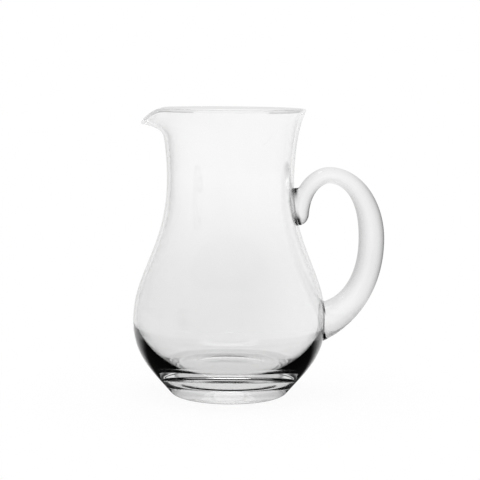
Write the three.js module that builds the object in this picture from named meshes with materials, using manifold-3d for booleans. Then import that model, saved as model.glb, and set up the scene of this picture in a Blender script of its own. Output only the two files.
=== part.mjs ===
// Clear glass pitcher, in millimetres with +Z up: a blown, pear-shaped vessel with a heavy base and a
// pulled pouring lip, and a solid handle drawn from a second gather of glass and laid on its side.
// The lip points to -X and the handle to +X.

import * as THREE from "three";
import { LoftGeometry } from "three/addons/geometries/LoftGeometry.js";
import { mergeVertices } from "three/addons/utils/BufferGeometryUtils.js";
import Module from "manifold-3d";

const { clamp, degToRad, lerp, smoothstep } = THREE.MathUtils;

// Vessel, to the outside of the glass
const vesselHeight = 210;
const rimRadius = 54.5;
const rimFlare = degToRad(29); // lean of the wall from upright where it meets the rim
const neckRadius = 46.4;
const neckHeight = 157.8;
const bellyRadius = 70.8;
const bellyHeight = 54;
const footRadius = 40.3; // outer edge of the flat ring that it stands on
const heelRadius = 4;
const heelSlope = degToRad(50); // slope of the bowl where it leaves the heel

// Vessel, glass thickness
const rimWall = 2.8;
const neckWall = 2.6;
const bellyWall = 2.4;
const floorThickness = 14.7; // from the table to the inner floor
const floorRadius = 31.1; // flat middle of the inner floor
const standingRing = 10.6; // width of the flat ring round the shallow hollow under the base
const puntDepth = 1.3; // depth of that hollow

// Fullness of each curve between two of the heights above, as a share of its rise
const bowlFullness = { low: 0.385, high: 0.49 };
const shoulderFullness = { low: 0.35, high: 0.48 };
const flareFullness = { low: 0.42, high: 0.19 };
const floorFullness = { side: 0.47, middle: 0.52 };

// Pouring lip
const lipSpread = degToRad(37); // from the middle of the lip to where the rim is round again
const lipReach = 12.9; // how far the tip stands out past the rim
const lipDrop = 11.8; // how far the tip sinks below the rim
const lipThroat = 22.2; // depth below the rim at which the wall starts to bend out
const lipReachCurve = 2.6; // the reach grows late on the way up, as this power
const lipDropCurve = 1.35;
const lipBeak = 2.2; // the drop gathers towards the middle of the lip, as this power

// Handle, along the middle of the rod
const rootHeight = 53.4; // where the rod leaves the belly
const rootRise = degToRad(14.5);
const rootSink = 6; // how far the rod's blunt root lies inside the wall before it is trimmed
const gripOverhang = 32.9; // belly wall to the middle of the grip
const gripHeight = 114.4;
const archOverhang = 25.5; // neck wall to the top of the arch
const archHeight = 161.9;
const tailOverhang = 2.8; // neck wall to where the tail turns down along it
const tipOverhang = 1; // wall to the middle of the tail's tip
const tipHeight = 125.1;

// Handle, length of the bend at each end of its three stretches
const rootBend = 22;
const underGripBend = 34;
const overGripBend = 28;
const outerArchBend = 18;
const innerArchBend = 7;
const tailBend = 28;

// Handle, size of the rod: thick towards the vessel, wide across
const rootThick = 30.2;
const rootWide = 31;
const gripThick = 18.8;
const gripWide = 20.4;
const archThick = 12.1;
const archWide = 15;
const tailThick = 12.9;
const tailWide = 16.4;
const tipRound = 8.9; // length over which the tail's tip closes
const webStart = 25.5; // before the tip, where glass starts to fill the corner over the tail
const webRun = 2.5; // length over which the corner fills
const webReach = 3.5; // how far the rod stands out to the neck there, before it is trimmed
const rootFlareCurve = 3.7; // the rod flares late on the way down to its root, as this power
const joinGap = 0.3; // handle to vessel

// Fineness of the facets
const turns = 60;
const bowlSteps = 7;
const shoulderSteps = 9;
const flareSteps = 9;
const roundSteps = 4;
const floorSteps = 11;
const rodSteps = 46;
const tipSteps = 5;
const rodSides = 18;

const wasm = await Module();
wasm.setup();

function solidFrom(geometry) {
  const bare = new THREE.BufferGeometry();
  bare.setAttribute("position", geometry.getAttribute("position"));
  bare.setIndex(geometry.getIndex());
  const merged = mergeVertices(bare);
  return new wasm.Manifold(
    new wasm.Mesh({
      numProp: 3,
      vertProperties: merged.attributes.position.array,
      triVerts: new Uint32Array(merged.index.array),
    }),
  );
}

function geometryFrom(solid) {
  const { vertProperties, triVerts } = solid.getMesh();
  const geometry = new THREE.BufferGeometry();
  geometry.setAttribute("position", new THREE.BufferAttribute(vertProperties, 3));
  geometry.setIndex(new THREE.BufferAttribute(triVerts, 1));
  geometry.computeVertexNormals();
  return geometry;
}

// Outline points are Vector2, with x the distance from the vessel's axis and y the height.
const at = (radius, height) => new THREE.Vector2(radius, height);

function arcPoints(centre, radius, from, to, steps) {
  const arc = new THREE.EllipseCurve(centre.x, centre.y, radius, radius, from, to, to < from);
  return arc.getPoints(steps);
}

const heelCentre = at(footRadius, heelRadius);
const heelEnd = at(
  footRadius + heelRadius * Math.sin(heelSlope),
  heelRadius * (1 - Math.cos(heelSlope)),
);
const rimRound = rimWall / 2;
const wallEnd = at(
  rimRadius - rimRound * (1 - Math.cos(rimFlare)),
  vesselHeight - rimRound * (1 + Math.sin(rimFlare)),
);

const bowlRise = bellyHeight - heelEnd.y;
const bowl = new THREE.CubicBezierCurve(
  heelEnd,
  at(
    heelEnd.x + bowlFullness.low * bowlRise * Math.cos(heelSlope),
    heelEnd.y + bowlFullness.low * bowlRise * Math.sin(heelSlope),
  ),
  at(bellyRadius, bellyHeight - bowlFullness.high * bowlRise),
  at(bellyRadius, bellyHeight),
);

const shoulderRise = neckHeight - bellyHeight;
const shoulder = new THREE.CubicBezierCurve(
  at(bellyRadius, bellyHeight),
  at(bellyRadius, bellyHeight + shoulderFullness.low * shoulderRise),
  at(neckRadius, neckHeight - shoulderFullness.high * shoulderRise),
  at(neckRadius, neckHeight),
);

const flareRise = wallEnd.y - neckHeight;
const flare = new THREE.CubicBezierCurve(
  at(neckRadius, neckHeight),
  at(neckRadius, neckHeight + flareFullness.low * flareRise),
  at(
    wallEnd.x - flareFullness.high * flareRise * Math.sin(rimFlare),
    wallEnd.y - flareFullness.high * flareRise * Math.cos(rimFlare),
  ),
  wallEnd,
);

const innerBelly = at(bellyRadius - bellyWall, bellyHeight);
const innerFall = bellyHeight - floorThickness;
const innerFloor = new THREE.CubicBezierCurve(
  innerBelly,
  at(innerBelly.x, bellyHeight - floorFullness.side * innerFall),
  at(lerp(floorRadius, innerBelly.x, floorFullness.middle), floorThickness),
  at(floorRadius, floorThickness),
);

// The hollow under the base is part of a sphere.
const puntRadius = footRadius - standingRing;
const puntSphere = (puntRadius ** 2 + puntDepth ** 2) / (2 * puntDepth);
const puntHalfAngle = Math.asin(puntRadius / puntSphere);
const underside = [
  ...arcPoints(
    at(0, puntDepth - puntSphere),
    puntSphere,
    Math.PI / 2,
    Math.PI / 2 - puntHalfAngle,
    roundSteps,
  ),
  ...arcPoints(heelCentre, heelRadius, -Math.PI / 2, heelSlope - Math.PI / 2, roundSteps),
];

const bowlWall = bowl.getPoints(bowlSteps).slice(1);
const upperWall = [
  ...shoulder.getPoints(shoulderSteps).slice(1),
  ...flare.getPoints(flareSteps).slice(1),
];

function wallAt(height) {
  return height < neckHeight
    ? lerp(bellyWall, neckWall, (height - bellyHeight) / (neckHeight - bellyHeight))
    : lerp(neckWall, rimWall, (height - neckHeight) / (wallEnd.y - neckHeight));
}

// Bends one point of the wall out and down, by its angle from the middle of the lip.
function pullLip(point, angle) {
  const aside = Math.min(1, Math.abs(angle) / lipSpread);
  const pull = (1 - aside ** 2) ** 2;
  const up = clamp((point.y - (vesselHeight - lipThroat)) / lipThroat, 0, 1);
  return at(
    point.x + lipReach * pull * up ** lipReachCurve,
    point.y - lipDrop * pull ** lipBeak * up ** lipDropCurve,
  );
}

// The vessel's outline at one angle from the lip: under the base, up the outside, over the rim and
// down the inside to the middle of the floor.
function outlineAt(angle) {
  const outside = upperWall.map((point) => pullLip(point, angle));
  const below = bowlWall.at(-1);
  const frames = outside.map((point, i) => {
    const along = (outside[i + 1] ?? point).clone().sub(outside[i - 1] ?? below).normalize();
    return { along, outward: at(along.y, -along.x), wall: wallAt(upperWall[i].y) };
  });
  const inside = outside.map((point, i) =>
    point.clone().addScaledVector(frames[i].outward, -frames[i].wall),
  );
  const { along, outward, wall } = frames.at(-1);
  const middle = outside.at(-1).clone().add(inside.at(-1)).multiplyScalar(0.5);
  const rim = [];
  for (let i = 1; i < 2 * roundSteps; i++) {
    const turn = (Math.PI * i) / (2 * roundSteps);
    const point = middle.clone().addScaledVector(outward, (wall / 2) * Math.cos(turn));
    rim.push(point.addScaledVector(along, (wall / 2) * Math.sin(turn)));
  }
  const floor = [...innerFloor.getPoints(floorSteps), at(0, floorThickness)];
  return [...underside, ...bowlWall, ...outside, ...rim, ...inside.reverse(), ...floor];
}

function vesselSolid() {
  const outlines = [];
  for (let i = 0; i < turns; i++) {
    const angle = (2 * Math.PI * i) / turns;
    const fromLip = Math.abs(angle - Math.PI);
    outlines.push({ angle, points: outlineAt(fromLip) });
  }
  const rings = outlines[0].points.map((_, k) =>
    outlines.map(({ angle, points }) => {
      const { x, y } = points[k];
      return new THREE.Vector3(x * Math.cos(angle), x * Math.sin(angle), y);
    }),
  );
  return solidFrom(new LoftGeometry(rings));
}

// The vessel without its hollow or lip, let out by the gap, to trim the handle's ends to the wall.
function vesselEnvelope() {
  const side = [...bowl.getPoints(bowlSteps), ...upperWall].map((p) => at(p.x + joinGap, p.y));
  const outline = [at(0, side[0].y), ...side, at(0, side.at(-1).y)];
  const lathe = new THREE.LatheGeometry(outline, turns);
  return solidFrom(lathe.rotateX(Math.PI / 2));
}

// Radius of the outer wall at a height, found by halving along the curve that passes that height.
function wallRadius(height) {
  const curve = [bowl, shoulder, flare].find(({ v3 }) => height <= v3.y) ?? flare;
  let low = 0;
  let high = 1;
  for (let i = 0; i < 30; i++) {
    const middle = (low + high) / 2;
    if (curve.getPoint(middle).y < height) low = middle;
    else high = middle;
  }
  return curve.getPoint(low).x;
}

const inPlane = (x, z) => new THREE.Vector3(x, 0, z);

const rootPoint = inPlane(wallRadius(rootHeight) - rootSink, rootHeight);
const gripPoint = inPlane(bellyRadius + gripOverhang, gripHeight);
const archPoint = inPlane(neckRadius + archOverhang, archHeight);
const tipPoint = inPlane(wallRadius(tipHeight) + tipOverhang, tipHeight);

const rod = new THREE.CurvePath();
rod.add(
  new THREE.CubicBezierCurve3(
    rootPoint,
    inPlane(
      rootPoint.x + rootBend * Math.cos(rootRise),
      rootPoint.z + rootBend * Math.sin(rootRise),
    ),
    inPlane(gripPoint.x, gripHeight - underGripBend),
    gripPoint,
  ),
);
rod.add(
  new THREE.CubicBezierCurve3(
    gripPoint,
    inPlane(gripPoint.x, gripHeight + overGripBend),
    inPlane(archPoint.x + outerArchBend, archHeight),
    archPoint,
  ),
);
rod.add(
  new THREE.CubicBezierCurve3(
    archPoint,
    inPlane(archPoint.x - innerArchBend, archHeight),
    inPlane(neckRadius + tailOverhang, tipHeight + tailBend),
    tipPoint,
  ),
);

// Half sizes of the rod at a distance along it: it flares to its root, thins towards the arch and
// swells a little in the tail.
function rodHalves(run) {
  const [gripRun, archRun, tipRun] = rod.getCurveLengths();
  const flaring = (1 - Math.min(1, run / gripRun)) ** rootFlareCurve;
  const thinning = smoothstep(run, gripRun, archRun);
  const swelling = smoothstep(run, archRun, tipRun);
  const size = (atRoot, atGrip, atArch, atTail) =>
    atGrip +
    (atRoot - atGrip) * flaring +
    (atArch - atGrip) * thinning +
    (atTail - atArch) * swelling;
  return {
    thick: size(rootThick, gripThick, archThick, tailThick) / 2,
    wide: size(rootWide, gripWide, archWide, tailWide) / 2,
  };
}

function handleSolid() {
  const length = rod.getLength();
  const across = new THREE.Vector3(0, 1, 0);
  const ring = (run, closing) => {
    const centre = rod.getPointAt(run / length);
    const outward = across.clone().cross(rod.getTangentAt(run / length));
    const { thick, wide } = rodHalves(run);
    const web = webReach * smoothstep(run, length - webStart, length - webStart + webRun);
    return Array.from({ length: rodSides }, (_, j) => {
      const turn = (2 * Math.PI * j) / rodSides;
      const away = Math.cos(turn);
      return centre
        .clone()
        .addScaledVector(outward, closing * (thick * away + web * Math.max(0, away) ** 2))
        .addScaledVector(across, closing * wide * Math.sin(turn));
    });
  };
  const rings = [];
  for (let i = 0; i < rodSteps; i++) rings.push(ring(((length - tipRound) * i) / rodSteps, 1));
  for (let i = 0; i <= tipSteps; i++) {
    const turn = ((Math.PI / 2) * i) / tipSteps;
    rings.push(ring(length - tipRound * (1 - Math.sin(turn)), Math.cos(turn)));
  }
  return solidFrom(new LoftGeometry(rings, { capStart: true }));
}

function glass(name, solid, colour) {
  const material = new THREE.MeshStandardMaterial({ color: colour, roughness: 0.03, metalness: 0 });
  material.transparent = true;
  material.opacity = 0.35;
  const mesh = new THREE.Mesh(geometryFrom(solid), material);
  mesh.name = name;
  return mesh;
}

// Both pieces are built about the vessel's axis, then stood with the middle of their box at the origin.
const aboutAxis = new THREE.Group();
aboutAxis.add(
  glass("vessel", vesselSolid(), 0xf3f5f4),
  glass("handle", handleSolid().subtract(vesselEnvelope()), 0xf3f5f4),
);
const box = new THREE.Box3().setFromObject(aboutAxis);
aboutAxis.position.x = -(box.min.x + box.max.x) / 2;

const pitcher = new THREE.Group();
pitcher.add(aboutAxis);

export default pitcher;
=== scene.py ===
import math

import bmesh
import bpy
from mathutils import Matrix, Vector
from mathutils.geometry import interpolate_bezier


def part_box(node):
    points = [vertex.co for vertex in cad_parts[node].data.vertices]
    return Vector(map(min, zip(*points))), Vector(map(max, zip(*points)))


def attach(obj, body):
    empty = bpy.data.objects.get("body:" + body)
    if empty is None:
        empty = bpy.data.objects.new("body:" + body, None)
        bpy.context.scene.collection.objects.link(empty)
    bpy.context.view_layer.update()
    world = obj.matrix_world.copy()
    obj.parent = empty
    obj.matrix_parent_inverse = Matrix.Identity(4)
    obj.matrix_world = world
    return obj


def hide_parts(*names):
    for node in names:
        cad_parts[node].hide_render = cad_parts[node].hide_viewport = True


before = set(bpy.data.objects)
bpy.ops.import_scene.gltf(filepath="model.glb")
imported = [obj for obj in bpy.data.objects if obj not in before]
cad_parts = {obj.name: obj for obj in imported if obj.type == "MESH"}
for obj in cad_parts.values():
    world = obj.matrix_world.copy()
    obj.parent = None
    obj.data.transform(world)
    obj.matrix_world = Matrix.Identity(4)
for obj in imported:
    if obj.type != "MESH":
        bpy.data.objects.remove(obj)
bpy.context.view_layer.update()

vesselLow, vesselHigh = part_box("vessel")
axisX = (vesselLow.x + vesselHigh.x) / 2  # the belly reaches equally far to both sides
mm = 0.001


class Flow:
    # one socket of a node tree, so that sums can be written as Python expressions
    def __init__(self, tree, socket=None):
        self.tree = tree
        self.socket = socket

    def node(self, kind, feeds=None, out=0, **settings):
        made = self.tree.nodes.new(kind)
        for name, value in settings.items():
            setattr(made, name, value)
        for key, value in (feeds or {}).items():
            if isinstance(value, Flow):
                self.tree.links.new(value.socket, made.inputs[key])
            else:
                made.inputs[key].default_value = value
        return Flow(self.tree, made.outputs[out] if len(made.outputs) else None)

    def other(self, out):
        return Flow(self.tree, self.socket.node.outputs[out])

    def math(self, operation, *values):
        return self.node("ShaderNodeMath", dict(enumerate(values)), operation=operation)

    def vector(self, operation, *values, out=0):
        return self.node("ShaderNodeVectorMath", dict(enumerate(values)), out, operation=operation)

    def __add__(self, other):
        return self.math("ADD", self, other)

    def __radd__(self, other):
        return self.math("ADD", other, self)

    def __sub__(self, other):
        return self.math("SUBTRACT", self, other)

    def __rsub__(self, other):
        return self.math("SUBTRACT", other, self)

    def __mul__(self, other):
        return self.math("MULTIPLY", self, other)

    def __rmul__(self, other):
        return self.math("MULTIPLY", other, self)

    def __truediv__(self, other):
        return self.math("DIVIDE", self, other)

    def __rtruediv__(self, other):
        return self.math("DIVIDE", other, self)

    def __pow__(self, other):
        return self.math("POWER", self, other)

    def __gt__(self, other):
        return self.math("GREATER_THAN", self, other)

    def __lt__(self, other):
        return self.math("LESS_THAN", self, other)

    def share(self, low, high, kind="LINEAR"):
        # 0 at low, 1 at high, held at both ends
        return self.node("ShaderNodeMapRange", {"Value": self, "From Min": low, "From Max": high},
                         interpolation_type=kind)

    def part(self, axis):
        return self.node("ShaderNodeSeparateXYZ", {0: self}, axis)


def blend(first, second, share):  # of numbers or sockets
    return first + (second - first) * share


def combine(flow, x, y, z):
    return flow.node("ShaderNodeCombineXYZ", {0: x, 1: y, 2: z})


def greyColour(flow, tone):
    return combine(flow, tone, tone, tone)


# Outlines of the glass are (distance from the vessel's axis, height) pairs
vesselForm = {
    "height": 210 * mm,
    "rimRadius": 54.5 * mm,
    "rimFlare": math.radians(29),  # lean of the wall where it meets the rim
    "neckRadius": 46.4 * mm,
    "neckHeight": 157.8 * mm,
    "bellyRadius": 70.8 * mm,
    "bellyHeight": 54 * mm,
    "footRadius": 40.3 * mm,
    "heelRadius": 4 * mm,
    "heelSlope": math.radians(50),
    "rimWall": 2.8 * mm,
    "neckWall": 2.6 * mm,
    "bellyWall": 2.4 * mm,
    "floorThickness": 14.7 * mm,
    "floorRadius": 31.1 * mm,  # flat middle of the inner floor
    "floorFullness": (0.47, 0.52),  # side, middle
    "puntRadius": 29.7 * mm,
    "puntDepth": 1.3 * mm,
    "bowlFullness": (0.385, 0.49),
    "shoulderFullness": (0.35, 0.48),
    "flareFullness": (0.42, 0.19),
    "turns": 192,
    "puntSteps": 20,
    "heelSteps": 10,
    "bowlSteps": 48,
    "shoulderSteps": 64,
    "flareSteps": 44,
    "rimSteps": 14,
    "rimDepth": 1.1 * mm,  # how far the rim's see-through fade and painted grey line go down inside
    "rimFade": 0.4 * mm,
    "floorSteps": 64,
}
lipForm = {
    "Lip Spread": math.radians(37),  # from the middle of the lip to where the rim is round again
    "Lip Reach": 12.9 * mm,
    "Lip Drop": 11.8 * mm,
    "Lip Throat": 22.2 * mm,
    "Lip Reach Curve": 2.6,
    "Lip Drop Curve": 1.35,
    "Lip Beak": 2.2,
}


def bezier(a, b, c, d, steps):
    points = interpolate_bezier(*[Vector((*p, 0)) for p in (a, b, c, d)], steps + 1)
    return [(p.x, p.y) for p in points]


def vesselOutlines(form):
    foot, heel, slope = form["footRadius"], form["heelRadius"], form["heelSlope"]
    belly, bellyZ = form["bellyRadius"], form["bellyHeight"]
    neck, neckZ = form["neckRadius"], form["neckHeight"]
    flare, rimRound = form["rimFlare"], form["rimWall"] / 2
    heelEnd = (foot + heel * math.sin(slope), heel * (1 - math.cos(slope)))
    wallEnd = (form["rimRadius"] - rimRound * (1 - math.cos(flare)),
               form["height"] - rimRound * (1 + math.sin(flare)))

    low, high = form["bowlFullness"]
    rise = bellyZ - heelEnd[1]
    lowEnd = (heelEnd[0] + low * rise * math.cos(slope), heelEnd[1] + low * rise * math.sin(slope))
    bowl = bezier(heelEnd, lowEnd, (belly, bellyZ - high * rise), (belly, bellyZ), form["bowlSteps"])
    low, high = form["shoulderFullness"]
    rise = neckZ - bellyZ
    shoulder = bezier((belly, bellyZ), (belly, bellyZ + low * rise),
                      (neck, neckZ - high * rise), (neck, neckZ), form["shoulderSteps"])
    low, high = form["flareFullness"]
    rise = wallEnd[1] - neckZ
    highEnd = (wallEnd[0] - high * rise * math.sin(flare), wallEnd[1] - high * rise * math.cos(flare))
    flaring = bezier((neck, neckZ), (neck, neckZ + low * rise), highEnd, wallEnd, form["flareSteps"])

    punt, depth = form["puntRadius"], form["puntDepth"]
    ball = (punt ** 2 + depth ** 2) / (2 * depth)  # the hollow under the base is part of a sphere
    half = math.asin(punt / ball)
    under = []
    for i in range(form["puntSteps"] + 1):
        turn = half * i / form["puntSteps"]
        under.append((ball * math.sin(turn), depth - ball + ball * math.cos(turn)))
    for i in range(form["heelSteps"] + 1):
        turn = slope * i / form["heelSteps"]
        under.append((foot + heel * math.sin(turn), heel * (1 - math.cos(turn))))

    side, middle = form["floorFullness"]
    inner, floor = belly - form["bellyWall"], form["floorThickness"]
    flat, fall = form["floorRadius"], bellyZ - floor
    inside = bezier((inner, bellyZ), (inner, bellyZ - side * fall),
                    (flat + middle * (inner - flat), floor), (flat, floor), form["floorSteps"])
    inside += [(flat * (1 - i / form["puntSteps"]), floor) for i in range(1, form["puntSteps"] + 1)]
    return under, bowl, shoulder[1:] + flaring[1:], inside


def outerWall(form):
    under, bowl, upper, inside = vesselOutlines(form)
    return bowl + upper


def wallRadius(wall, height):
    for (r0, z0), (r1, z1) in zip(wall, wall[1:]):
        if z0 <= height <= z1:
            return blend(r0, r1, (height - z0) / (z1 - z0))


def wallThickness(form, height):
    def between(low, high, thin, thick):
        return blend(thin, thick, min(1, max(0, (height - low) / (high - low))))
    if height < form["neckHeight"]:
        return between(form["bellyHeight"], form["neckHeight"], form["bellyWall"], form["neckWall"])
    return between(form["neckHeight"], form["height"], form["neckWall"], form["rimWall"])


# A station is one ring of the vessel: a point of the outline, its neighbours along the wall, and
# how far the ring stands off from there, along the wall's normal and on past its end
def station(point, before=None, after=None, aside=0.0, onward=0.0, rim=0.0):
    return {"point": point, "before": before or point, "after": after or point,
            "aside": aside, "onward": onward, "rim": rim}


def vesselStations(form):
    under, bowl, upper, inside = vesselOutlines(form)
    rimHeight = upper[-1][1]

    def rimShare(p, depth):
        return min(1, max(0, 1 - (rimHeight - depth - p[1]) / form["rimFade"]))
    stations = [station(p, rim=rimShare(p, 0)) for p in under + bowl[1:] + upper]
    chain = [bowl[-1]] + upper + [upper[-1]]
    links = [(a, p, b, wallThickness(form, p[1])) for a, p, b in zip(chain, upper, chain[2:])]
    before, end, after, wall = links[-1]
    for i in range(1, form["rimSteps"]):
        turn = math.pi * i / form["rimSteps"]
        aside, onward = wall / 2 * (math.cos(turn) - 1), wall / 2 * math.sin(turn)
        stations.append(station(end, before, after, aside, onward, rim=1))
    for before, p, after, wall in reversed(links):
        stations.append(station(p, before, after, -wall, rim=rimShare(p, form["rimDepth"])))
    return stations + [station(p) for p in inside]


# The vessel without its hollow, drawn in by a small depth
def filledStations(form, depth):
    wall = [(r - depth, z) for r, z in outerWall(form)]
    return [station(p) for p in [(0, wall[0][1])] + wall + [(0, wall[-1][1])]]


handleForm = {
    "rootHeight": 53.4 * mm,  # where the rod leaves the belly
    "rootRise": math.radians(14.5),
    "rootSink": 6 * mm,
    "gripOverhang": 32.9 * mm,
    "gripHeight": 114.4 * mm,
    "archOverhang": 25.5 * mm,
    "archHeight": 161.9 * mm,
    "tailOverhang": 2.8 * mm,
    "tipOverhang": 1 * mm,
    "tipHeight": 125.1 * mm,
    "bends": [22 * mm, 34 * mm, 28 * mm, 18 * mm, 7 * mm, 28 * mm],  # root to tip
    "thick": [30.2 * mm, 18.8 * mm, 12.1 * mm, 12.9 * mm],  # at the root, grip, arch and tail
    "wide": [31 * mm, 20.4 * mm, 15 * mm, 16.4 * mm],
    "tipRound": 8.9 * mm,
    "tailFrom": 100 * mm,  # the tail's joint lies over this height, the root's under it
    "webStart": 25.5 * mm,  # before the tip, where glass starts to fill the corner over the tail
    "webRun": 2.5 * mm,
    "webReach": 3.5 * mm,
    "jointGap": 0.15 * mm,  # between the handle's glass and the vessel's
    "footprintDepth": 1.2 * mm,
    "seamShadeReach": 3.2 * mm,  # painted shade: a dark line where the tail meets the neck, deepest at both its ends
    "seamShadeMiddle": 140 * mm,
    "seamShadeHalf": 10 * mm,
    "rootFlareCurve": 3.7,
    "pathSteps": 400,  # to each of the path's three stretches
    "steps": 260,
    "tipSteps": 14,
    "sides": 56,
}


def handlePath(form, vessel):
    wall = outerWall(vessel)
    root = (wallRadius(wall, form["rootHeight"]) - form["rootSink"], form["rootHeight"])
    grip = (vessel["bellyRadius"] + form["gripOverhang"], form["gripHeight"])
    arch = (vessel["neckRadius"] + form["archOverhang"], form["archHeight"])
    tip = (wallRadius(wall, form["tipHeight"]) + form["tipOverhang"], form["tipHeight"])
    rise, fine = form["rootRise"], form["pathSteps"]
    rootBend, underGrip, overGrip, outerArch, innerArch, tail = form["bends"]
    stretches = [
        bezier(root, (root[0] + rootBend * math.cos(rise), root[1] + rootBend * math.sin(rise)),
               (grip[0], grip[1] - underGrip), grip, fine),
        bezier(grip, (grip[0], grip[1] + overGrip), (arch[0] + outerArch, arch[1]), arch, fine),
        bezier(arch, (arch[0] - innerArch, arch[1]),
               (vessel["neckRadius"] + form["tailOverhang"], form["tipHeight"] + tail), tip, fine),
    ]
    points, runs, ends = [root], [0], []
    for stretch in stretches:
        for p in stretch[1:]:
            runs.append(runs[-1] + math.dist(points[-1], p))
            points.append(p)
        ends.append(runs[-1])
    return points, runs, ends


def eased(value, low, high):
    t = min(1, max(0, (value - low) / (high - low)))
    return t * t * (3 - 2 * t)


def handleStations(form, vessel):
    points, runs, (gripRun, archRun, tipRun) = handlePath(form, vessel)
    around = 3  # points to each side from which the path's direction is taken

    def ring(run, closing):
        i = max(1, next((k for k, r in enumerate(runs) if r >= run), len(runs) - 1))
        share = (run - runs[i - 1]) / (runs[i] - runs[i - 1])
        (x0, z0), (x1, z1) = points[i - 1], points[i]
        first, last = points[max(0, i - 1 - around)], points[min(len(points) - 1, i + around)]
        along = Vector((last[0] - first[0], last[1] - first[1])).normalized()
        flaring = (1 - min(1, run / gripRun)) ** form["rootFlareCurve"]

        def half(sizes):
            root, grip, arch, tail = sizes
            size = blend(grip, root, flaring)
            size += (arch - grip) * eased(run, gripRun, archRun)
            return (size + (tail - arch) * eased(run, archRun, tipRun)) / 2 * closing
        webbed = eased(run, tipRun - form["webStart"], tipRun - form["webStart"] + form["webRun"])
        return {"centre": (blend(x0, x1, share), blend(z0, z1, share)),
                "outward": (along.y, -along.x), "thick": half(form["thick"]),
                "wide": half(form["wide"]), "run": run, "web": form["webReach"] * webbed * closing}

    body = tipRun - form["tipRound"]
    rings = [ring(0, 0)] + [ring(body * i / form["steps"], 1) for i in range(form["steps"])]
    for i in range(form["tipSteps"] + 1):
        turn = math.pi / 2 * i / form["tipSteps"]
        rings.append(ring(tipRun - form["tipRound"] * (1 - math.sin(turn)), math.cos(turn)))
    return rings


# Geometry Nodes: each piece is a sheet of stations by sides that is closed into a skin
def newTree(name, sizes):
    tree = bpy.data.node_groups.new(name, "GeometryNodeTree")
    tree.interface.new_socket("Geometry", in_out="INPUT", socket_type="NodeSocketGeometry")
    for label, kind in sizes.items():
        tree.interface.new_socket(label, in_out="INPUT", socket_type="NodeSocket" + kind)
    tree.interface.new_socket("Geometry", in_out="OUTPUT", socket_type="NodeSocketGeometry")
    first = tree.nodes.new("NodeGroupInput")
    return Flow(tree), {s.name: Flow(tree, s) for s in first.outputs if s.name}


# An open grid, one row to a station and one column to a side, with a reader for the stations'
# values and the angle round the piece
def ringSheet(flow, stations, sides):
    count = flow.node("GeometryNodeAttributeDomainSize", {0: stations}, component="MESH")
    grid = flow.node("GeometryNodeMeshGrid", {"Vertices X": count, "Vertices Y": sides + 1})
    index = flow.node("GeometryNodeInputIndex")
    row = flow.math("FLOOR", (index + 0.5) / (sides + 1))
    angle = (index - row * (sides + 1)) / sides * math.tau

    def read(name, kind="FLOAT"):
        value = flow.node("GeometryNodeInputNamedAttribute", {"Name": name}, data_type=kind)
        return flow.node("GeometryNodeSampleIndex", {"Geometry": stations, "Value": value, "Index": row},
                         data_type=kind)
    return grid, read, angle


seamWeld = 0.001 * mm  # closes a skin's seam and poles
cutWeld = 0.002 * mm  # joins what a cut has parted


# A value that the finishes read later
def storeNamed(flow, grid, name, value, kind):
    return flow.node("GeometryNodeStoreNamedAttribute", {"Geometry": grid, "Name": name, "Value": value},
                     data_type=kind, domain="POINT")


def closeSkin(flow, grid, place, glass):
    moved = flow.node("GeometryNodeSetPosition", {"Geometry": grid, "Position": place})
    outward = flow.node("GeometryNodeFlipFaces", {"Mesh": moved})
    whole = flow.node("GeometryNodeMergeByDistance", {"Geometry": outward, "Distance": seamWeld})
    smooth = flow.node("GeometryNodeSetShadeSmooth", {"Geometry": whole, "Shade Smooth": True})
    real = flow.node("GeometryNodeRealizeInstances", {"Geometry": smooth})
    done = flow.node("GeometryNodeSetMaterial", {"Geometry": real, "Material": glass})
    flow.node("NodeGroupOutput", {0: done})


def vesselTree():
    sizes = {"Turns": "Int", "Height": "Float", "Axis": "Float", **dict.fromkeys(lipForm, "Float"),
             "Glass": "Material"}
    flow, size = newTree("turned vessel", sizes)
    grid, read, angle = ringSheet(flow, size["Geometry"], size["Turns"])
    fromLip = flow.math("ABSOLUTE", angle - math.pi) / size["Lip Spread"]
    pull = (1 - flow.math("MINIMUM", fromLip, 1) ** 2) ** 2

    def pulled(point):  # bends a point of the wall out and down, by its angle from the lip
        up = point.part("Z").share(size["Height"] - size["Lip Throat"], size["Height"])
        reach = size["Lip Reach"] * pull * up ** size["Lip Reach Curve"]
        drop = size["Lip Drop"] * pull ** size["Lip Beak"] * up ** size["Lip Drop Curve"]
        return combine(flow, point.part("X") + reach, 0, point.part("Z") - drop)

    point, before, after = [pulled(read(k, "FLOAT_VECTOR")) for k in ("point", "before", "after")]
    along = flow.vector("NORMALIZE", flow.vector("SUBTRACT", after, before))
    aside, onward = read("aside"), read("onward")
    radius = point.part("X") + along.part("Z") * aside + along.part("X") * onward
    height = point.part("Z") - along.part("X") * aside + along.part("Z") * onward
    place = combine(flow, size["Axis"] + radius * flow.math("COSINE", angle),
                    radius * flow.math("SINE", angle), height)
    closeSkin(flow, storeNamed(flow, grid, "rim", read("rim"), "FLOAT"), place, size["Glass"])
    return flow.tree


def handleTree():
    flow, size = newTree("drawn rod", {"Sides": "Int", "Axis": "Float", "Glass": "Material"})
    grid, read, angle = ringSheet(flow, size["Geometry"], size["Sides"])
    centre, outward = read("centre", "FLOAT_VECTOR"), read("outward", "FLOAT_VECTOR")
    across = flow.math("SINE", angle)
    away = flow.math("COSINE", angle)
    lift = away * read("thick") + read("web") * flow.math("MAXIMUM", away, 0) ** 2
    place = combine(flow, size["Axis"] + centre.part("X") + outward.part("X") * lift,
                    across * read("wide"), centre.part("Z") + outward.part("Z") * lift)
    drawn = combine(flow, away, across, read("run") * 1000)  # round the rod, and along it in mm
    closeSkin(flow, storeNamed(flow, grid, "drawn", drawn, "FLOAT_VECTOR"), place, size["Glass"])
    return flow.tree


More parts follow.
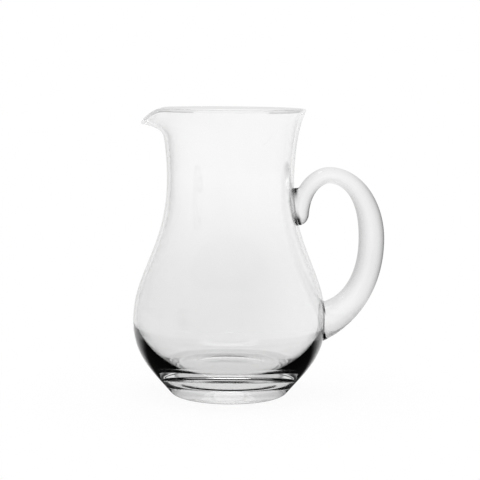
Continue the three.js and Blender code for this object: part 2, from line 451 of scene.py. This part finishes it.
def newObject(name, mesh):
    made = bpy.data.objects.new(name, mesh)
    bpy.context.scene.collection.objects.link(made)
    return made


# The evaluated object as a plain mesh; the object that made it goes
def plainMesh(maker):
    graph = bpy.context.evaluated_depsgraph_get()
    mesh = bpy.data.meshes.new_from_object(maker.evaluated_get(graph), preserve_all_data_layers=True,
                                           depsgraph=graph)
    bpy.data.objects.remove(maker)
    return mesh


def skin(name, tree, stations, inputs):
    table = bpy.data.meshes.new(name)
    table.from_pydata([(0, 0, 0)] * len(stations), [], [])
    for label, value in stations[0].items():
        column = [s[label] for s in stations]
        if isinstance(value, tuple):
            kept = table.attributes.new(label, "FLOAT_VECTOR", "POINT")
            kept.data.foreach_set("vector", [number for x, z in column for number in (x, 0, z)])
        else:
            kept = table.attributes.new(label, "FLOAT", "POINT")
            kept.data.foreach_set("value", column)
    maker = newObject(name, table)
    modifier = maker.modifiers.new("skin", "NODES")
    modifier.node_group = tree
    for socket in tree.interface.items_tree:
        if socket.in_out == "INPUT" and socket.name in inputs:
            modifier[socket.identifier] = inputs[socket.name]
    return plainMesh(maker)


def markFaces(mesh, value):
    kept = mesh.attributes.get("fromTool") or mesh.attributes.new("fromTool", "INT", "FACE")
    kept.data.foreach_set("value", [value] * len(mesh.polygons))
    return mesh


def cut(mesh, tool, operation):
    maker = newObject("cut", markFaces(mesh, 0))
    other = newObject("tool", markFaces(tool, 1))
    modifier = maker.modifiers.new("cut", "BOOLEAN")
    modifier.solver = "MANIFOLD"
    modifier.operation = operation
    modifier.object = other
    result = plainMesh(maker)
    bpy.data.objects.remove(other)
    return result


def isTail(point):
    return point.z > handleForm["tailFrom"]


# The vessel's skin with the handle's two footprints cut into it as faces of their own
def printFootprints(vessel, rod, core):
    hollowed = cut(rod, core, "DIFFERENCE")  # reaches into the wall, but not through it
    whole = bmesh.new()
    for operation, footprint in (("DIFFERENCE", 0), ("INTERSECT", 1)):
        mesh = cut(vessel.copy(), hollowed, operation)
        keep = bmesh.new()
        keep.from_mesh(mesh)
        layer = keep.faces.layers.int["fromTool"]
        bmesh.ops.delete(keep, geom=[f for f in keep.faces if f[layer]], context="FACES")
        for face in keep.faces:
            face.material_index = footprint * isTail(face.calc_center_median())
        keep.to_mesh(mesh)
        keep.free()
        whole.from_mesh(mesh)
    bmesh.ops.remove_doubles(whole, verts=whole.verts, dist=cutWeld)
    print("open edges in the vessel:", sum(len(e.link_faces) != 2 for e in whole.edges))
    result = bpy.data.meshes.new("vesselGlass")
    whole.to_mesh(result)
    whole.free()
    return result


# Handle glass ends where the vessel's skin is, and the two lie against each other there
def trimHandle(rod, envelope):
    mesh = cut(rod, envelope, "DIFFERENCE")
    fromTool = mesh.attributes["fromTool"].data
    for face, mark in zip(mesh.polygons, fromTool):
        face.material_index = mark.value * isTail(face.center)
    # painted shade: share of a dark line on the tail where it meets the neck
    seamShadeShare = mesh.attributes.new("seamShadeShare", "FLOAT", "POINT")
    wall = outerWall(vesselForm)
    for vertex, share in zip(mesh.vertices, seamShadeShare.data):
        x, y, z = vertex.co
        if isTail(vertex.co):
            gap = math.hypot(x - axisX, y) - wallRadius(wall, z)
            fromMiddle = min(1, abs(z - handleForm["seamShadeMiddle"]) / handleForm["seamShadeHalf"]) ** 2
            share.value = min(1, 2 * max(0, 1 - gap / handleForm["seamShadeReach"])) * fromMiddle
    return mesh


# Finishes. A tone is the share of the light that the glass leaves; besides the glass's own clouds and
# streaks, the tones carry painted shade
glassIor = 1.5


def newMaterial(name):
    material = bpy.data.materials.new(name)
    material.use_nodes = True
    material.node_tree.nodes.clear()
    return material, Flow(material.node_tree)


def glassShader(flow, colour, height, depth, **varying):
    bump = flow.node("ShaderNodeBump", {"Strength": 1.0, "Distance": depth, "Height": height})
    return flow.node("ShaderNodeBsdfPrincipled", {
        "Base Color": colour, "Normal": bump, "IOR": glassIor, "Transmission Weight": 1.0,
        "Roughness": 0.0, **varying})


def noiseOn(place, scale, detail):
    return place.node("ShaderNodeTexNoise", {"Vector": place, "Scale": scale, "Detail": detail})


def edgeOn(flow):  # 0 where the glass is seen square on, 1 where it is seen edge on
    return flow.node("ShaderNodeLayerWeight", {"Blend": 0.5}, "Facing")


def bandOf(height, ends):  # rises over the first pair of heights and falls over the second
    low, high = [height.share(*pair, "SMOOTHSTEP") for pair in ends]
    return low * (1 - high)


blownFinish = {
    "waveScale": 30.0,  # waves to the metre in the wall
    "waveDepth": 0.03 * mm,
    "cordScale": 120.0,  # fine upright cords in the glass
    "cordStretch": 0.12,
    "cordShare": 0.15,  # of the waves' depth
    "tones": (0.98, 0.965),  # from clear to clouded, seen square on
    "edge": (0.6, 3),  # painted shade: share of that tone left where the wall is seen edge on, and how late it sets in
    "edgeLow": 0.2,  # how much of that painted edge shade the belly has
    "edgeHeights": (100 * mm, 140 * mm),
    "edgeHandle": 0.3,  # and the handle's side
    "edgeSides": (-30 * mm, 30 * mm),
    "bellyShade": 0.915,  # painted shade: the belly is darker than the base and the neck
    "bellyHeights": ((6 * mm, 18 * mm), (58 * mm, 165 * mm)),
    "bellyFade": 0.5,  # how far that painted shade fades towards the handle
    "bellySides": (10 * mm, 60 * mm),
    # painted shade: the foot is darkened, as if the shaded floor under the vessel showed through it
    "footShade": 0.72,
    "footHeights": (7 * mm, 10 * mm),
    "outline": (0.8, 8),  # painted shade: how far the wall seen edge on turns to a plain grey line, and how late
    "outlineTone": 0.86,
    "outlineHeights": (50 * mm, 80 * mm),
    "rimShadeLines": (0.25, 0.75),  # how far the rim turns to that painted grey line, in front and behind
    "rimHalves": (-30 * mm, 30 * mm),
    "rimAlpha": 0.15,
    "ringWear": 0.32,  # roughness of the ring that the vessel stands on
    "ringHeights": (0.2 * mm, 0.5 * mm),
    "scuffScale": 900.0,
    "scuffEnds": (0.35, 0.7),
}


def blownGlass(finish):
    material, flow = newMaterial("blownGlass")
    place = flow.node("ShaderNodeTexCoord", out="Object")
    across, depth, height = [place.part(axis) for axis in "XYZ"]
    stretched = flow.node("ShaderNodeMapping", {"Vector": place, "Scale": (1, 1, finish["cordStretch"])})
    waves = noiseOn(place, finish["waveScale"], 1.0)
    cords = noiseOn(stretched, finish["cordScale"], 2.0)
    scuffs = noiseOn(place, finish["scuffScale"], 3.0)
    ring = 1 - height.share(*finish["ringHeights"])
    wear = ring * scuffs.share(*finish["scuffEnds"]) * finish["ringWear"]

    def towardsHandle(ends):
        return across.share(*[axisX + end for end in finish[ends]], "SMOOTHSTEP")
    # painted shade: the belly is darkened, less towards the handle
    belly = bandOf(height, finish["bellyHeights"]) * (1 - finish["bellyFade"] * towardsHandle("bellySides"))
    # painted shade: the foot is darkened
    foot = 1 - height.share(*finish["footHeights"], "SMOOTHSTEP")
    # painted shade: the wall is darkened where it is seen edge on
    most, late = finish["edge"]
    edge = blend(1, finish["edgeHandle"], towardsHandle("edgeSides"))
    edge = edge * blend(finish["edgeLow"], 1, height.share(*finish["edgeHeights"], "SMOOTHSTEP"))
    facing = edgeOn(flow)
    tone = blend(*finish["tones"], cords) * blend(1, most, edge * facing ** late)
    tone = tone * blend(1, finish["bellyShade"], belly) * blend(1, finish["footShade"], foot)
    rim = flow.node("ShaderNodeAttribute", out="Fac", attribute_name="rim")
    relief = waves + finish["cordShare"] * cords
    glass = glassShader(flow, greyColour(flow, tone), relief, finish["waveDepth"],
                        Roughness=wear, Alpha=blend(1, finish["rimAlpha"], rim))

    # painted shade: thin grey lines, where the wall turns away and along the rim
    line = flow.node("ShaderNodeBsdfTransparent", {"Color": (*[finish["outlineTone"]] * 3, 1)})
    most, late = finish["outline"]
    outline = most * height.share(*finish["outlineHeights"]) * facing ** late
    rimShadeLine = blend(*finish["rimShadeLines"], depth.share(*finish["rimHalves"])) * rim
    thin = flow.math("MAXIMUM", outline, rimShadeLine)
    both = flow.node("ShaderNodeMixShader", {0: thin, 1: glass, 2: line})
    flow.node("ShaderNodeOutputMaterial", {"Surface": both})
    return material


drawnFinish = {
    "streakScale": 2.2,
    "streakStretch": 0.012,  # along the rod
    "streakEnds": (0.35, 0.65),
    "streakDepth": 0.05 * mm,
    "swellScale": 0.05,
    "tones": (0.95, 0.89),  # from clear to streaked, seen square on
    "edge": (0.0, 0.45),  # painted shade: share of that tone left where the rod is seen edge on, and how late it sets in
    "edgeUp": 0.2,  # how much of that painted edge shade there is where the rod faces up or down
    "edgeInner": 0.8,  # and where it faces the vessel
    "gripShade": 0.95,  # painted shade: the grip is darker than the root and the arch
    "gripHeights": ((65 * mm, 95 * mm), (145 * mm, 170 * mm)),
    "seamShadeTone": 0.02,  # painted shade: a dark line where the tail meets the neck
    "seamShade": 0.9,
    "gripShadeLine": (1.0, 2.0),  # the same painted shade along the outer side of the grip, and how late it sets in
    "shadeTone": 0.01,
}


def drawnGlass(finish):
    material, flow = newMaterial("drawnGlass")
    place = flow.node("ShaderNodeAttribute", out="Vector", attribute_name="drawn")
    stretched = flow.node("ShaderNodeMapping", {"Vector": place, "Scale": (1, 1, finish["streakStretch"])})
    streaks = noiseOn(stretched, finish["streakScale"], 2.0)
    swells = noiseOn(place, finish["swellScale"], 0.0)
    coordinates = flow.node("ShaderNodeTexCoord", out="Object")
    outward = coordinates.other("Normal").part("X")
    # painted shade over the grip's heights
    grip = bandOf(coordinates.part("Z"), finish["gripHeights"])
    # painted shade where the tail meets the neck
    seamShadeShare = flow.node("ShaderNodeAttribute", out="Fac", attribute_name="seamShadeShare")
    facing = edgeOn(flow)
    # painted shade: the rod is darkened where it is seen edge on
    most, late = finish["edge"]
    inner = finish["edgeInner"]
    sideways = outward ** 2 * ((1 + inner) / 2 + (1 - inner) / 2 * outward)
    edge = blend(finish["edgeUp"], 1, sideways)
    tone = blend(*finish["tones"], streaks.share(*finish["streakEnds"]))
    tone = tone * blend(1, most, edge * facing ** late)
    tone = tone * blend(1, finish["seamShadeTone"], seamShadeShare) * blend(1, finish["gripShade"], grip)
    glass = glassShader(flow, greyColour(flow, tone), streaks + swells, finish["streakDepth"])
    # painted shade: near-black mixed in where the tail meets the neck and along the grip's outer edge
    shade = flow.node("ShaderNodeBsdfDiffuse", {"Color": (*[finish["shadeTone"]] * 3, 1)})
    most, late = finish["gripShadeLine"]
    line = most * flow.math("MAXIMUM", outward, 0) ** 2 * facing ** late * grip
    dim = flow.math("MAXIMUM", finish["seamShade"] * seamShadeShare ** 2, line)
    both = flow.node("ShaderNodeMixShader", {0: dim, 1: glass, 2: shade})
    flow.node("ShaderNodeOutputMaterial", {"Surface": both})
    return material


# Where handle and vessel are melted into each other there is no surface to see
def meltedJoint():
    material, flow = newMaterial("meltedJoint")
    joint = flow.node("ShaderNodeBsdfPrincipled", {"Base Color": (1, 1, 1, 1), "Alpha": 0.0, "IOR": 1.0})
    flow.node("ShaderNodeOutputMaterial", {"Surface": joint})
    return material


print("glass finishes")
blown, drawn, melted = blownGlass(blownFinish), drawnGlass(drawnFinish), meltedJoint()

print("vessel and handle skins")
vesselInputs = {"Turns": vesselForm["turns"], "Height": vesselForm["height"], "Axis": axisX,
                "Glass": blown, **lipForm}
roundInputs = {**vesselInputs, "Lip Reach": 0.0, "Lip Drop": 0.0}  # the handle never reaches the lip
handleInputs = {"Sides": handleForm["sides"], "Axis": axisX, "Glass": drawn}
turned, rodMaker = vesselTree(), handleTree()
vesselSkin = skin("vesselSkin", turned, vesselStations(vesselForm), vesselInputs)
envelope = skin("envelope", turned, filledStations(vesselForm, -handleForm["jointGap"]), roundInputs)
core = skin("core", turned, filledStations(vesselForm, handleForm["footprintDepth"]), roundInputs)
rod = skin("rod", rodMaker, handleStations(handleForm, vesselForm), handleInputs)

print("handle melted on to the vessel")
handleMesh = trimHandle(rod.copy(), envelope)
vesselMesh = printFootprints(vesselSkin, rod, core)
sharpAngle = math.radians(30)  # the handle's trimmed ends keep their edges


def finishPiece(name, mesh, glass, node):
    mesh.attributes.remove(mesh.attributes["fromTool"])
    mesh.materials.clear()
    mesh.materials.append(glass)
    mesh.materials.append(melted)
    mesh.polygons.foreach_set("use_smooth", [True] * len(mesh.polygons))
    mesh.set_sharp_from_angle(angle=sharpAngle)
    piece = newObject(name, mesh)
    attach(piece, "root")
    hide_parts(node)
    print(name, "with", len(mesh.polygons), "faces")


finishPiece("glassVessel", vesselMesh, blown, "vessel")
finishPiece("glassHandle", handleMesh, drawn, "handle")

# Studio: pale floor and backdrop, soft dome and one large soft lamp. Through the glass the pale floor
# and backdrop show; what it throws back shows painted shade: a dark floor round the vessel and a dark room
# beside it
studio = {
    "floorRadius": 6.0,
    "floorDrop": 0.3 * mm,
    "floorTones": ((0.86, 0.86, 0.86, 1), (0.88, 0.88, 0.88, 1)),
    "mottleScale": 40.0,
    "floorLift": 0.93,  # share of plain white in the shadow round the vessel
    "shadowEdge": (0.13, 0.185),
    "nearEdge": (0.17, 0.21),  # end of the floor that is painted dark for the rays that the glass throws
    "footEdge": (0.1, 0.13),  # end of the bright floor close to the foot
    "skimEdge": (0.15, 0.7),  # cosine from straight behind, where rays that skim the glass go
    "frontEdge": (0.6, 1.0),  # the same, where the floor runs into the backdrop
    "backdropEdge": (0.55, 0.8),  # and where the backdrop ends at its sides
    "sideEdge": (-0.8, 0.8),  # cosine from the lip's side to the handle's side
    "roomTop": (8, 30),  # degrees up from the dark of the room to the lit ceiling
    # painted shade: tone of the floor round the vessel, as the glass shows it
    "nearShadeTone": 0.02,
    "floorSides": (0.85, 1.0),  # painted reflection: the lip's side and the handle's side, down on the floor, as the glass shows them
    "wallSides": (0.75, 1.0),  # and the walls over it
    "sideRun": (1.0, 5.0),  # where the floor's tones run into the walls'
    "deepSides": 0.08,  # painted shade: share of the walls' tones left for rays thrown back twice or more
    "ceiling": 0.75,
    "dome": 0.75,
    "white": 1.0,
    "lampSize": 1.4,
    "lampHeight": 1.6,
    "lampPower": 12.0,
}


# The light path, and masks for rays that see the studio and for those that the glass has thrown back
def rayKinds(flow):
    path = flow.node("ShaderNodeLightPath")
    glass = flow.math("MAXIMUM", path.other("Is Glossy Ray"), path.other("Is Transmission Ray"))
    seen = flow.math("MAXIMUM", path.other("Is Camera Ray"), glass)
    return path, seen, path.other("Glossy Depth") > 0


def sideTones(flat, tones):
    return blend(*studio[tones], flat.part("X").share(*studio["sideEdge"], "SMOOTHSTEP"))


def floorMaterial():
    material, flow = newMaterial("paleFloor")
    place = flow.node("ShaderNodeTexCoord", out="Object")
    mottle = noiseOn(place, studio["mottleScale"], 4.0)
    darkTone, paleTone = studio["floorTones"]
    tone = flow.node("ShaderNodeMix", {"Factor": mottle, "A": darkTone, "B": paleTone}, "Result",
                     data_type="RGBA")
    matt = flow.node("ShaderNodeBsdfDiffuse", {"Color": tone})

    path, seen, thrown = rayKinds(flow)
    within = thrown * (path.other("Transmission Depth") < 3)  # thrown by the near wall or the base
    outside = thrown * (path.other("Transmission Depth") < 1)  # off the outer skin
    fromVessel = flow.vector("DISTANCE", place, (axisX, 0, 0), out="Value")
    flat = flow.vector("NORMALIZE", flow.vector("SUBTRACT", place, (axisX, 0, 0)))

    def past(value, edge):
        return value.share(*studio[edge], "SMOOTHSTEP")
    shadow, near = 1 - past(fromVessel, "shadowEdge"), 1 - past(fromVessel, "nearEdge")
    clear, away = past(fromVessel, "footEdge"), past(fromVessel, "sideRun")
    skimmed, back = past(flat.part("Y"), "skimEdge"), past(flat.part("Y"), "frontEdge")
    # painted reflection: to rays that the glass throws, the floor is dark near the vessel and darker at the
    # sides; the camera sees it pale
    sides = blend(sideTones(flat, "floorSides"), sideTones(flat, "wallSides"), away)
    far = blend(studio["white"], sides, (1 - back) * clear * thrown)
    dark = near * (within * clear + outside * (1 - clear)) * (1 - outside * skimmed)
    glow = greyColour(flow, blend(far, studio["nearShadeTone"], dark))
    pale = flow.node("ShaderNodeEmission", {"Color": glow, "Strength": 1.0})
    lift = seen * blend(1, studio["floorLift"], shadow * (1 - dark))
    both = flow.node("ShaderNodeMixShader", {0: lift, 1: matt, 2: pale})
    flow.node("ShaderNodeOutputMaterial", {"Surface": both})
    return material


def studioWorld():
    world = bpy.data.worlds.new("studio")
    world.use_nodes = True
    world.node_tree.nodes.clear()
    flow = Flow(world.node_tree)
    way = flow.node("ShaderNodeTexCoord", out="Generated")
    path, seen, thrown = rayKinds(flow)
    flat = flow.vector("NORMALIZE", combine(flow, way.part("X"), way.part("Y"), 0))
    behind = flat.part("Y").share(*studio["backdropEdge"], "SMOOTHSTEP")
    low, high = [math.sin(math.radians(angle)) for angle in studio["roomTop"]]
    up = way.part("Z").share(low, high, "SMOOTHSTEP")
    # painted reflection: to rays that the glass throws, the room is dark at the sides, darker still after
    # two throws
    sides = sideTones(flat, "wallSides") * blend(1, studio["deepSides"], path.other("Glossy Depth") > 1)
    around = blend(blend(sides, studio["white"], behind), studio["ceiling"], up)
    shown = blend(studio["white"], around, thrown)
    glow = greyColour(flow, blend(studio["dome"], shown, seen))
    light = flow.node("ShaderNodeBackground", {"Color": glow, "Strength": 1.0})
    flow.node("ShaderNodeOutputWorld", {"Surface": light})
    return world


def buildStudio():
    disc = bmesh.new()
    bmesh.ops.create_circle(disc, cap_ends=True, segments=96, radius=studio["floorRadius"])
    bmesh.ops.translate(disc, verts=disc.verts, vec=(0, 0, -studio["floorDrop"]))
    mesh = bpy.data.meshes.new("floor")
    disc.to_mesh(mesh)
    disc.free()
    mesh.materials.append(floorMaterial())
    newObject("floor", mesh)
    bpy.context.scene.world = studioWorld()
    lamp = bpy.data.lights.new("softLamp", "AREA")
    lamp.shape = "DISK"
    lamp.size = studio["lampSize"]
    lamp.energy = studio["lampPower"]
    hung = newObject("softLamp", lamp)
    hung.location = (axisX, 0, studio["lampHeight"])
    hung.visible_glossy = False  # the dome is what the glass mirrors


cameraPlace = {
    "aside": 6.15 * mm,  # to the right of the vessel's axis
    "away": 1.0527,
    "height": 0.23684,
    "tilt": math.radians(6.676),
    "roll": math.radians(-0.55),
    "lens": 108.31,
}


def placeCamera():
    camera = newObject("camera", bpy.data.cameras.new("camera"))
    camera.data.lens = cameraPlace["lens"]
    camera.data.sensor_width = 36
    camera.location = (axisX + cameraPlace["aside"], -cameraPlace["away"], cameraPlace["height"])
    camera.rotation_euler = (math.pi / 2 - cameraPlace["tilt"], cameraPlace["roll"], 0)
    bpy.context.scene.camera = camera


print("studio and camera")
buildStudio()
placeCamera()
bpy.context.scene.view_settings.view_transform = "Standard"
